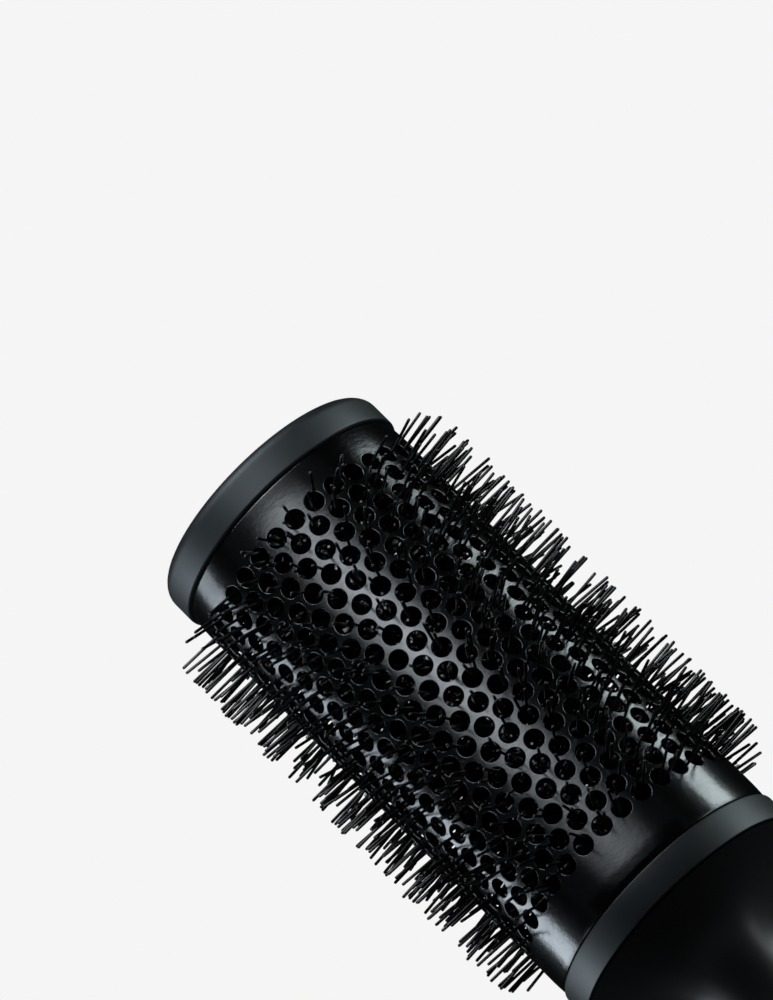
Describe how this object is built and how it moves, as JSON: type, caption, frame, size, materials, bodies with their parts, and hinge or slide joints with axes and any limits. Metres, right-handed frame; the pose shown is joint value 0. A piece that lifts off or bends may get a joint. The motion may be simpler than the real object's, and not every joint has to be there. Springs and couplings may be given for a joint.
{
  "type": "round barrel hair brush",
  "caption": "Round salon hair brush: a vented metal barrel with nylon bristles on a twisted wire stem, a matte end cap and collar, and a slim black handle.",
  "frame": {"origin": "centre of the end cap's flat foot, which the brush stands on", "axes": "+Z along the brush's axis, from the end cap towards the tail of the handle; X and Y are alike, and the odd rows have a bristle that points along -Y"},
  "size_m": [0.0724, 0.073, 0.26],
  "materials": {
    "matte_trim": "fine matte moulding, charcoal",
    "coated_metal": "satin black coating over thin perforated tube",
    "nylon": "extruded black nylon filament with rounded tips",
    "steel": "drawn, zinc plated",
    "brass": "plain turned",
    "moulding": "plain moulded, black",
    "gloss_black": "polished, black",
    "soft_touch": "soft-touch matte, black"
  },
  "bodies": {
    "root": {"end_cap": "matte_trim", "barrel": "coated_metal", "wire_stem": "steel", "base_plug": "moulding", "stem_ferrule": "brass", "plug_screw_1": "steel", "plug_screw_2": "steel", "plug_screw_3": "steel", "collar": "matte_trim", "handle_shell": "gloss_black", "grip_sleeve": "soft_touch", "tail_cap": "gloss_black", "bristle_row_01": "nylon", "bristle_row_02": "nylon", "bristle_row_03": "nylon", "bristle_row_04": "nylon", "bristle_row_05": "nylon", "bristle_row_06": "nylon", "bristle_row_07": "nylon", "bristle_row_08": "nylon", "bristle_row_09": "nylon", "bristle_row_10": "nylon", "bristle_row_11": "nylon", "bristle_row_12": "nylon", "bristle_row_13": "nylon", "bristle_row_14": "nylon", "bristle_row_15": "nylon", "bristle_row_16": "nylon", "bristle_row_17": "nylon", "bristle_row_18": "nylon", "bristle_row_19": "nylon", "bristle_row_20": "nylon", "bristle_row_21": "nylon"}
  },
  "joints": []
}
